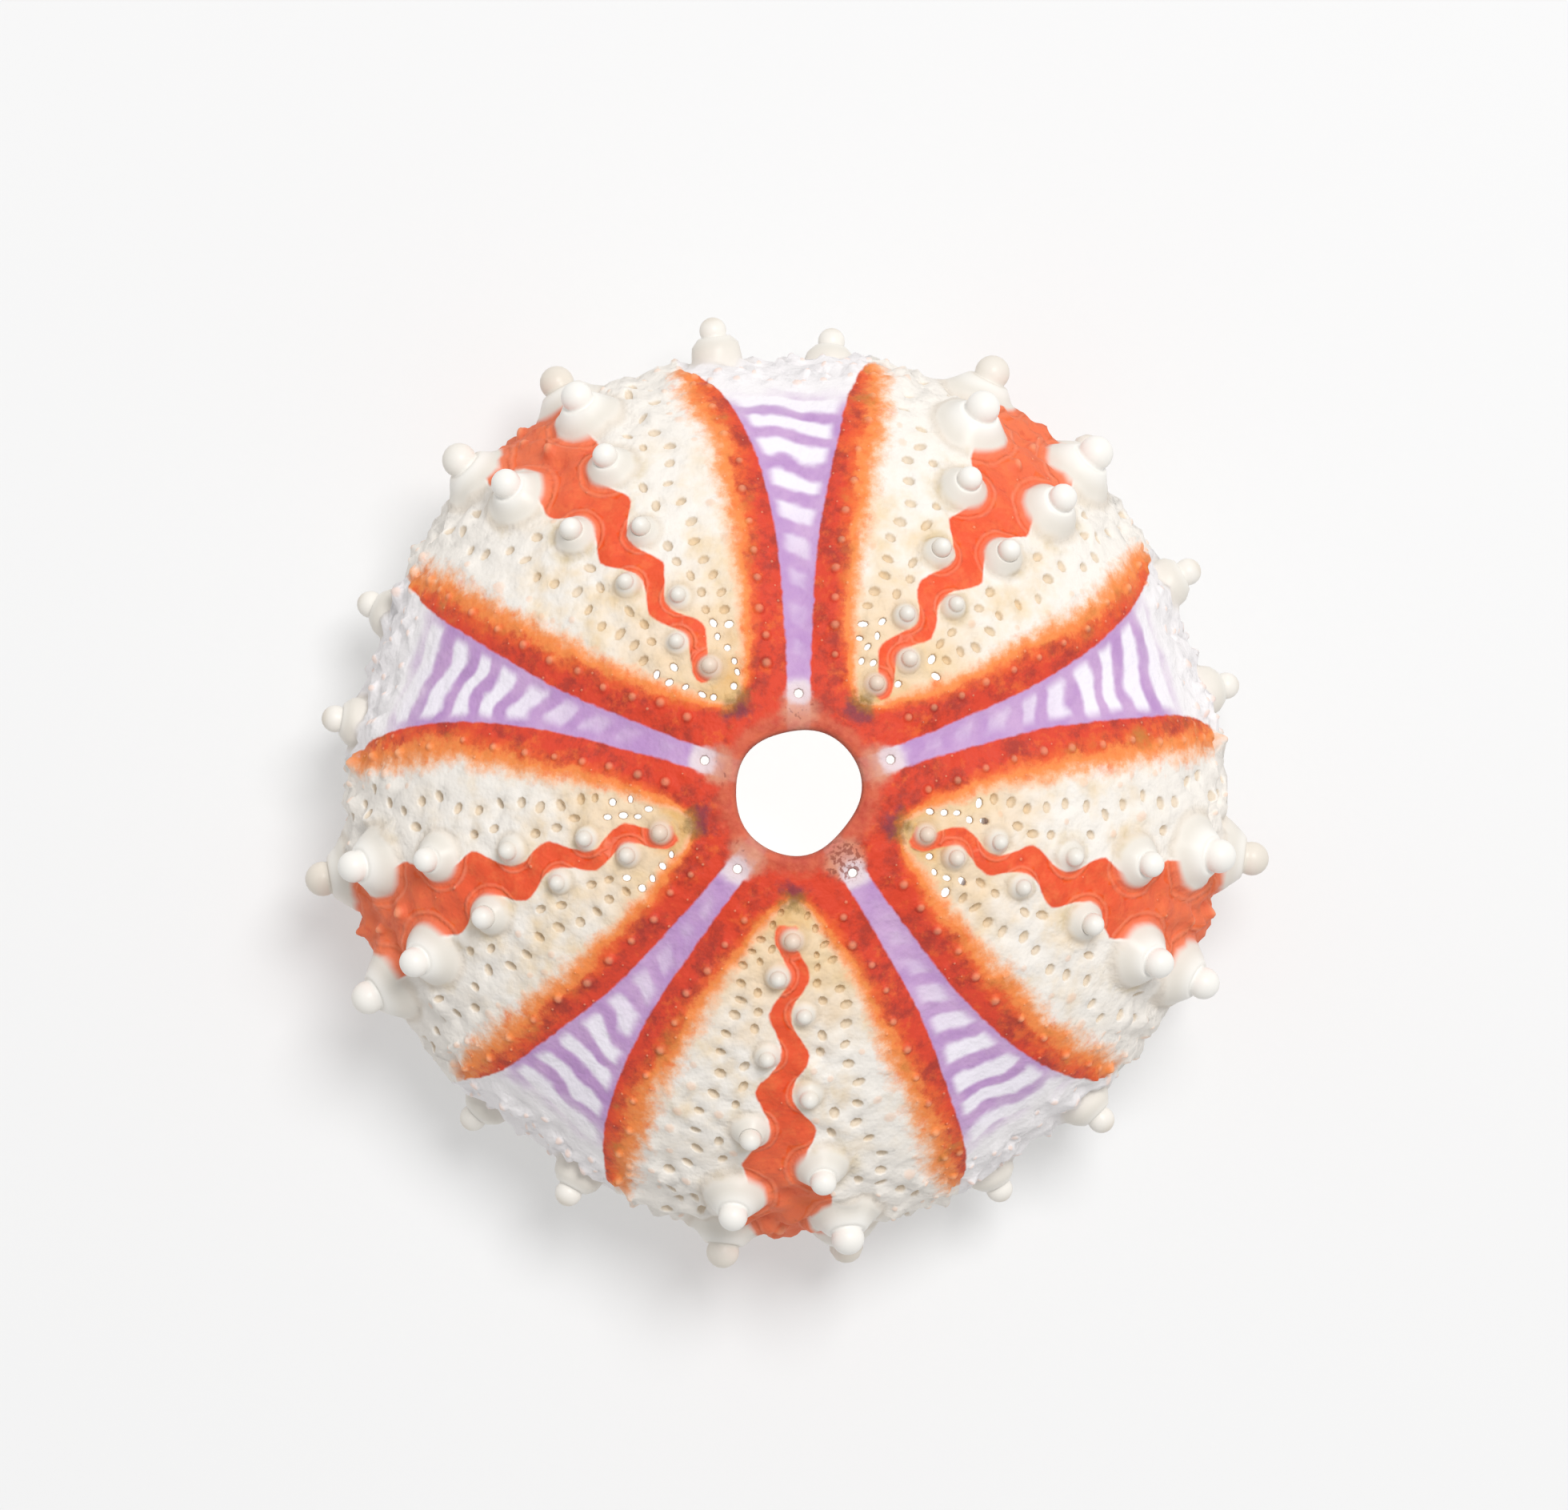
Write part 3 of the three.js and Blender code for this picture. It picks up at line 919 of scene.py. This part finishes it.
def foot_marks(plan, s, boss_mark, tubercles):
    """Millimetres inside the nearest boss, and distance from it in widths of the ring round its foot."""
    points = wall_points(plan, s)
    inside = np.full(len(plan), -9.0)
    ring = np.full(len(plan), 9.0)
    for each in tubercles:
        away = np.linalg.norm(points - wall_points(each.plan, each.s), axis=1)
        gap = each.boss * each.foot / RAY_FOOT - away
        nearer = gap > inside
        inside = np.where(nearer, gap, inside)
        ring = np.where(nearer, -gap / (RING_WIDTH + RING_WIDTH_GAIN * each.boss), ring)
    return np.maximum(inside, boss_mark), ring


def shell_object():
    mesh, tubercles = build_shell()
    position, plan, s, marks, triangles = mesh.arrays()
    data = bpy.data.meshes.new("urchin_test")
    data.from_pydata((position * MM).tolist(), [], triangles.tolist())
    data.shade_smooth()
    foot, ring = foot_marks(plan, s, marks.pop("boss"), tubercles)
    paints = {
        "down": s,
        "across_strip": np.radians(from_strip(plan)) * radius_at(s),
        "egg": np.hypot(off_strip(plan, s), s - GONOPORE_PLACE),
        "plate": np.hypot(off_strip(plan, s), s - GENITAL_PLATE_PLACE),
        "dusk": np.hypot(0.8 * off_ray(plan, s), s - DUSK_PLACE),
        "lilac": lilac_edge(plan, s),
        "fringe": cream_edge(plan, s),
        "ribbon": zigzag_edge(plan, s),
        "sieve": np.linalg.norm(even_points(plan, s) - even_points(*SIEVE_PLACE), axis=1),
        "foot": foot,
        "ring": ring,
        **marks,
    }
    for name, values in paints.items():
        layer = data.attributes.new(name, "FLOAT", "POINT")
        layer.data.foreach_set("value", values.astype(np.float32))
    return placed("urchin_test", data)


# Materials

def paint(red, green, blue):
    """A colour from 0 to 255 in each channel, as linear light."""
    def linear(value):
        value = value / 255.0
        return value / 12.92 if value <= 0.04045 else ((value + 0.055) / 1.055) ** 2.4
    return (linear(red), linear(green), linear(blue), 1.0)


class Graph:
    """Short forms for the nodes of one material."""

    def __init__(self, name):
        self.material = bpy.data.materials.new(name)
        self.material.use_nodes = True
        self.tree = self.material.node_tree
        self.shader = self.tree.nodes["Principled BSDF"]
        place = self.node("TexCoord", {}).outputs["Object"]
        scaled = self.node("VectorMath", {0: place, "Scale": 1.0 / MM}, operation="SCALE")
        self.millimetres = scaled.outputs[0]

    def fill(self, node, values):
        """Sets or links the inputs of a node."""
        for name, value in values.items():
            if isinstance(value, bpy.types.NodeSocket):
                self.tree.links.new(value, node.inputs[name])
            else:
                node.inputs[name].default_value = value

    def node(self, kind, values, **settings):
        node = self.tree.nodes.new("ShaderNode" + kind)
        for name, setting in settings.items():
            setattr(node, name, setting)
        self.fill(node, values)
        return node

    def mark(self, name):
        return self.node("Attribute", {}, attribute_name=name).outputs["Fac"]

    def math(self, operation, first, second=0.0):
        return self.node("Math", {0: first, 1: second}, operation=operation).outputs[0]

    def sum(self, first, second):
        return self.math("ADD", first, second)

    def times(self, first, second):
        return self.math("MULTIPLY", first, second)

    def step(self, value, low, high, start=0.0, end=1.0):
        """A smooth step from start to end as the value goes from low to high."""
        values = {"Value": value, "From Min": low, "From Max": high, "To Min": start, "To Max": end}
        return self.node("MapRange", values, interpolation_type="SMOOTHSTEP").outputs["Result"]

    def noise(self, scale, detail=2.0, roughness=0.5, offset=0.0):
        """Noise from about -1 to 1, with its scale in cycles per millimetre."""
        values = {"Vector": self.millimetres, "W": offset, "Scale": scale, "Detail": detail}
        node = self.node("TexNoise", {**values, "Roughness": roughness}, noise_dimensions="4D")
        return self.times(self.math("SUBTRACT", node.outputs["Fac"], 0.5), 3.0)

    def mix(self, share, first, second):
        return self.node("Mix", {0: share, 6: first, 7: second}, data_type="RGBA").outputs[2]

    def lay(self, under, share, strength, over):
        """One colour laid over another, as strongly as given where the share is 1."""
        return self.mix(self.times(share, strength), under, over)

    def bump(self, height, strength, distance, under=None):
        values = {"Height": height, "Strength": strength, "Distance": distance * MM}
        if under is not None:
            values["Normal"] = under
        return self.node("Bump", values).outputs["Normal"]


def pale_ground(graph):
    """White plates, cream and then tan towards the top, with faint warm mottling."""
    down = graph.mark("down")
    mottle = graph.noise(0.9, 3.0)
    tone = graph.sum(down, graph.times(mottle, 1.6))
    colour = graph.mix(graph.step(tone, 1.6, 4.2), paint(226, 178, 112), paint(240, 214, 180))
    colour = graph.mix(graph.step(tone, 4.0, 8.5), colour, paint(246, 240, 232))
    warm = graph.step(graph.noise(0.6, 3.0, 0.6, 4.0), -0.25, 0.8)
    warm = graph.times(warm, graph.step(down, 15.0, 9.0))
    return graph.lay(colour, warm, 0.75, paint(236, 204, 152))


def red_band(graph, ground):
    """Mottled red, thinning to an orange and peach fringe."""
    fringe = graph.mark("fringe")
    down = graph.mark("down")
    broad = graph.times(graph.noise(0.8, 2.0), 0.35)
    ragged = graph.sum(graph.times(graph.noise(2.2, 4.0, 0.7), 0.5), broad)
    thinning = graph.step(down, 6.0, 14.0, 0.0, -0.25)
    depth = graph.sum(graph.sum(fringe, ragged), thinning)
    colour = graph.mix(graph.step(depth, -0.2, 0.45), paint(252, 186, 140), paint(247, 138, 60))
    colour = graph.mix(graph.step(depth, 0.45, 1.0), colour, paint(235, 84, 10))
    colour = graph.mix(graph.step(depth, 0.9, 1.6), colour, paint(222, 50, 0))
    dark = graph.step(graph.noise(1.2, 4.0, 0.7, 2.0), -0.2, 0.5)
    dark = graph.times(dark, graph.step(depth, 0.5, 1.2))
    colour = graph.lay(colour, dark, 0.75, paint(150, 18, 0))
    light = graph.step(graph.noise(1.5, 4.0, 0.65, 15.0), 0.05, 0.6)
    colour = graph.lay(colour, light, 0.6, paint(242, 104, 22))
    olive = graph.step(graph.noise(0.8, 3.0, 0.6, 7.0), 0.0, 0.7)
    olive = graph.times(olive, graph.times(graph.step(depth, 0.25, 0.6), graph.step(depth, 1.5, 0.9)))
    olive = graph.times(olive, graph.step(down, 4.0, 11.0, 0.15, 0.8))
    colour = graph.mix(olive, colour, paint(186, 118, 32))
    ends = graph.sum(down, graph.times(ragged, 1.4))
    share = graph.times(graph.step(depth, -0.65, 0.15), graph.step(ends, 18.0, 16.9))
    return graph.mix(share, ground, colour)


def lilac_strip(graph, ground):
    """Lilac with a pale bar on every plate, fading at the ambitus."""
    lilac = graph.mark("lilac")
    down = graph.mark("down")
    across = graph.mark("across_strip")
    sway = graph.times(graph.noise(0.55, 2.0, 0.5, 3.0), 0.3)
    halves = graph.step(across, -0.7, 0.7, -0.17, 0.17)
    phase = graph.sum(graph.times(down, 0.72), graph.sum(halves, sway))
    wave = graph.math("SINE", graph.times(phase, 2.0 * math.pi))
    bars = graph.step(graph.sum(wave, graph.times(graph.noise(1.6, 2.0, 0.5, 6.0), 0.4)), -0.75, 0.5)
    heart = graph.step(graph.sum(lilac, graph.times(graph.noise(1.1, 2.0, 0.5, 8.0), 0.12)), 0.1, 0.55)
    strength = graph.step(down, 4.5, 10.5, 0.22, 1.0)
    pale = graph.times(graph.times(bars, heart), strength)
    shade = graph.step(graph.noise(0.8, 3.0, 0.55, 5.0), -0.6, 0.8)
    body = graph.mix(shade, paint(186, 142, 200), paint(207, 170, 212))
    below_tip = graph.step(graph.sum(down, graph.times(shade, 0.25)), 1.75, 2.15)
    body = graph.mix(below_tip, paint(226, 208, 222), body)
    colour = graph.mix(pale, body, paint(246, 240, 250))
    ragged = graph.times(graph.noise(2.6, 3.0), 0.06)
    share = graph.step(graph.sum(lilac, ragged), -0.05, 0.07)
    fade = graph.step(graph.sum(down, graph.times(graph.noise(0.7, 2.0), 0.8)), 15.6, 13.2)
    colour = graph.mix(fade, paint(246, 242, 243), colour)
    return graph.mix(share, ground, colour)


def ring_line(graph):
    """A soft line at the outer edge of the ring round each tubercle."""
    ring = graph.mark("ring")
    return graph.times(graph.step(ring, 0.5, 0.95), graph.step(ring, 1.55, 1.05))


def coral_ribbon(graph, ground):
    """Coral with a paler ring round every tubercle."""
    ribbon = graph.mark("ribbon")
    down = graph.mark("down")
    ragged = graph.times(graph.noise(1.6, 3.0), 0.07)
    share = graph.step(graph.sum(ribbon, ragged), -0.06, 0.06)
    share = graph.times(share, graph.step(down, 25.0, 20.0))
    colour = graph.mix(graph.step(down, 9.0, 17.0), paint(238, 74, 12), paint(238, 112, 66))
    mottle = graph.step(graph.noise(1.8, 4.0, 0.65, 9.0), -0.2, 0.6)
    colour = graph.lay(colour, mottle, 0.45, paint(247, 122, 60))
    deep = graph.step(graph.noise(2.4, 3.0, 0.6, 19.0), 0.1, 0.7)
    colour = graph.lay(colour, deep, 0.4, paint(206, 52, 14))
    colour = graph.lay(colour, ring_line(graph), 0.35, paint(250, 160, 128))
    halo = graph.step(graph.mark("ring"), 1.0, 0.1)
    colour = graph.lay(colour, halo, 0.45, paint(248, 150, 118))
    return graph.mix(share, ground, colour)


def apical_disc(graph, ground):
    """Plates round the top hole: red, tan and pale round each egg pore, dusky above each ray."""
    down = graph.mark("down")
    mottle = graph.noise(2.2, 4.0, 0.6, 12.0)
    colour = graph.mix(graph.step(mottle, -0.5, 0.9), paint(214, 96, 62), paint(186, 54, 36))
    share = graph.step(graph.sum(down, graph.times(mottle, 0.35)), 1.0, 0.25)
    ground = graph.lay(ground, share, 0.9, colour)
    uneven = graph.noise(1.5, 3.0, 0.6, 13.0)
    plate = graph.sum(graph.mark("plate"), graph.times(uneven, 0.22))
    tan = graph.mix(graph.step(mottle, -0.6, 0.7), paint(222, 156, 126), paint(204, 124, 98))
    specks = graph.step(graph.noise(4.5, 1.0, 0.5, 14.0), 0.35, 0.6)
    tan = graph.lay(tan, specks, 0.6, paint(132, 70, 56))
    ground = graph.lay(ground, graph.step(plate, 1.0, 0.5), 0.8, tan)
    pale = graph.step(graph.sum(graph.mark("egg"), graph.times(uneven, 0.16)), 0.66, 0.3)
    ground = graph.lay(ground, pale, 0.85, paint(232, 214, 220))
    sieve = graph.times(
        graph.step(graph.mark("sieve"), 0.95, 0.6),
        graph.step(graph.noise(6.5, 1.0, 0.5, 16.0), -0.1, 0.3),
    )
    ground = graph.lay(ground, sieve, 0.75, paint(140, 52, 30))
    blotch = graph.noise(1.7, 4.0, 0.65, 17.0)
    dusk = graph.step(graph.sum(graph.mark("dusk"), graph.times(blotch, 0.5)), 0.75, 0.2)
    olive = graph.step(graph.sum(down, graph.times(blotch, 0.5)), 1.3, 1.7)
    tone = graph.mix(olive, paint(110, 30, 58), paint(124, 90, 26))
    return graph.lay(ground, dusk, 0.8, tone)


def tubercle_tones(graph, ground):
    """Porcelain bosses and balls, with stains, a ring of painted shade round each foot, and boss sides
    greyer than the ball: partly their own tone, partly painted shade.
    """
    down = graph.mark("down")
    foot = graph.mark("foot")
    ring = graph.mark("ring")
    ribbon = graph.mark("ribbon")
    stain = graph.times(graph.step(ring, 2.6, 0.2), graph.step(graph.noise(0.7, 3.0, 0.6, 18.0), -0.1, 0.6))
    on_dome = graph.times(graph.step(down, 5.0, 7.5), graph.step(down, 16.0, 13.0))
    stain = graph.times(graph.times(stain, on_dome), graph.step(ribbon, 0.0, -0.3))
    ground = graph.lay(ground, stain, 0.6, paint(206, 178, 112))
    # painted shade: the crease round each boss foot on the pale plates is darkened to grey tan
    painted_foot_shade = graph.times(graph.step(ring, 1.3, 0.2), graph.step(ring, -0.8, 0.1))
    painted_foot_shade = graph.times(painted_foot_shade, graph.step(ribbon, 0.0, -0.15))
    ground = graph.lay(ground, painted_foot_shade, 0.35, paint(200, 182, 158))
    # greyer low on the boss and whiter on the ball: partly the porcelain's own tone, partly painted shade
    tone = graph.mix(graph.step(foot, 0.25, 0.75), paint(232, 226, 216), paint(247, 244, 238))
    worn = graph.times(graph.step(down, 16.5, 18.5), graph.step(foot, 0.5, 0.9))
    tone = graph.lay(tone, worn, 0.5, paint(214, 198, 176))
    young = graph.step(down, 5.0, 3.0)
    tone = graph.lay(tone, young, 0.45, paint(232, 190, 156))
    return graph.mix(graph.step(foot, -0.03, 0.2), ground, tone)


def small_features(graph, ground):
    """Paler granules, painted shade darkening each pore to tan towards its floor, and the plain inside."""
    raised = graph.step(graph.mark("grain"), 0.3, 0.9)
    ground = graph.lay(ground, raised, 0.35, paint(248, 190, 150))
    # painted shade: the deeper into a pore, the more it is darkened to tan
    pit = graph.step(graph.mark("pore"), 0.2, 0.9)
    ground = graph.lay(ground, pit, 0.5, paint(206, 180, 140))
    return graph.lay(ground, graph.mark("inside"), 0.75, paint(244, 230, 218))


def fine_relief(graph):
    """Grain of the plates, and a line round each tubercle on the ribbon, too fine for the mesh."""
    matt = graph.step(graph.mark("foot"), 0.1, -0.05)
    coarse = graph.noise(1.7, 2.0, 0.5, 21.0)
    fine = graph.noise(7.0, 3.0, 0.6, 20.0)
    normal = graph.bump(graph.times(coarse, matt), 0.5, 0.12)
    normal = graph.bump(graph.times(fine, matt), 0.4, 0.03, normal)
    line = graph.times(ring_line(graph), graph.step(graph.mark("ribbon"), -0.05, 0.1))
    return graph.bump(line, 0.6, 0.06, normal)


def shell_material():
    graph = Graph("urchin_calcite")
    colour = pale_ground(graph)
    for layer in (red_band, lilac_strip, coral_ribbon, apical_disc, tubercle_tones, small_features):
        colour = layer(graph, colour)
    rough = graph.step(graph.mark("foot"), -0.05, 0.25, 0.62, 0.34)
    finish = {"Base Color": colour, "Roughness": rough, "Normal": fine_relief(graph)}
    graph.fill(graph.shader, {**finish, "Specular IOR Level": 0.25})
    return graph.material


# Stage

CAMERA_HEIGHT = 260.0
CAMERA_LEAN = 2.7
SENSOR = 36.0
# Framing of the photograph, in its pixels
PIXELS_PER_MM = 32.3
IMAGE_WIDTH = 1960.0
SHELL_BELOW_MIDDLE = 44.0
SHELL_RIGHT_OF_MIDDLE = 1.6


def add_camera():
    """Almost straight overhead, leaning a little to the left of the shell's axis."""
    data = bpy.data.cameras.new("camera")
    data.sensor_fit = "HORIZONTAL"
    data.sensor_width = SENSOR
    distance = CAMERA_HEIGHT - AMBITUS_HEIGHT
    data.lens = SENSOR * distance * PIXELS_PER_MM / IMAGE_WIDTH
    data.clip_end = 10.0
    camera = placed("camera", data)
    lean = math.radians(CAMERA_LEAN)
    aside = -SHELL_RIGHT_OF_MIDDLE / PIXELS_PER_MM
    ahead = SHELL_BELOW_MIDDLE / PIXELS_PER_MM
    aim = Vector((aside, ahead, AMBITUS_HEIGHT))
    camera.location = (aim + Vector((-math.sin(lean), 0.0, math.cos(lean))) * distance) * MM
    camera.rotation_euler = (0.0, -lean, 0.0)
    bpy.context.scene.camera = camera


FLOOR_RADIUS = 900.0
FLOOR_SIDES = 96
FLOOR_DROP = 0.02  # keeps the sheet clear of the flats that the shell rests on
FLOOR_GLOW = 0.32
FLOOR_GLOW_WITHIN = 0.86  # under the shell, where the light of the sheet shows through the holes
FLOOR_GLOW_EDGE = (8.0, 11.0)


def add_floor():
    """A pale sheet that glows a little, like a light table."""
    data = bpy.data.meshes.new("floor")
    turns = turns_of(FLOOR_SIDES)
    rim = np.stack([np.cos(turns), np.sin(turns), np.full(FLOOR_SIDES, -FLOOR_DROP / FLOOR_RADIUS)], axis=1)
    rim = (rim * FLOOR_RADIUS * MM).tolist()
    data.from_pydata(rim, [], [list(range(len(rim)))])
    floor = placed("floor", data)
    graph = Graph("pale_sheet")
    away = graph.node("VectorMath", {0: graph.millimetres}, operation="LENGTH").outputs["Value"]
    glow = graph.step(away, *FLOOR_GLOW_EDGE, FLOOR_GLOW_WITHIN, FLOOR_GLOW)
    finish = {"Base Color": paint(200, 200, 200), "Roughness": 0.9, "Specular IOR Level": 0.1}
    light = {"Emission Color": paint(255, 255, 255), "Emission Strength": glow}
    graph.fill(graph.shader, {**finish, **light})
    data.materials.append(graph.material)
    floor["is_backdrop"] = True


KEY_PLACE = (90.0, 160.0, 440.0)
KEY_AIM = (0.0, 0.0, 5.0)
KEY_SIZE = 200.0
KEY_POWER = 1.42
ROOM_LIGHT = 0.5


def add_lights():
    """One large soft lamp high up behind the shell, and even light from all round."""
    data = bpy.data.lights.new("key", "AREA")
    data.shape = "DISK"
    data.size = KEY_SIZE * MM
    data.energy = KEY_POWER
    light = placed("key", data)
    light.location = Vector(KEY_PLACE) * MM
    light.rotation_euler = (Vector(KEY_AIM) - Vector(KEY_PLACE)).to_track_quat("-Z", "Y").to_euler()
    world = bpy.data.worlds.new("studio")
    world.use_nodes = True
    background = world.node_tree.nodes["Background"]
    background.inputs["Color"].default_value = (1.0, 1.0, 1.0, 1.0)
    background.inputs["Strength"].default_value = ROOM_LIGHT
    bpy.context.scene.world = world
    bpy.context.scene.view_settings.view_transform = "Standard"


shell = shell_object()
shell.data.materials.append(shell_material())
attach(shell, "root")
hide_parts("shell")
add_camera()
add_floor()
add_lights()

VISUAL_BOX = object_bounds()
boxes = {"cad": CAD_BOX, "visual": VISUAL_BOX}
{name: [list(map(float, corner)) for corner in box] for name, box in boxes.items()}
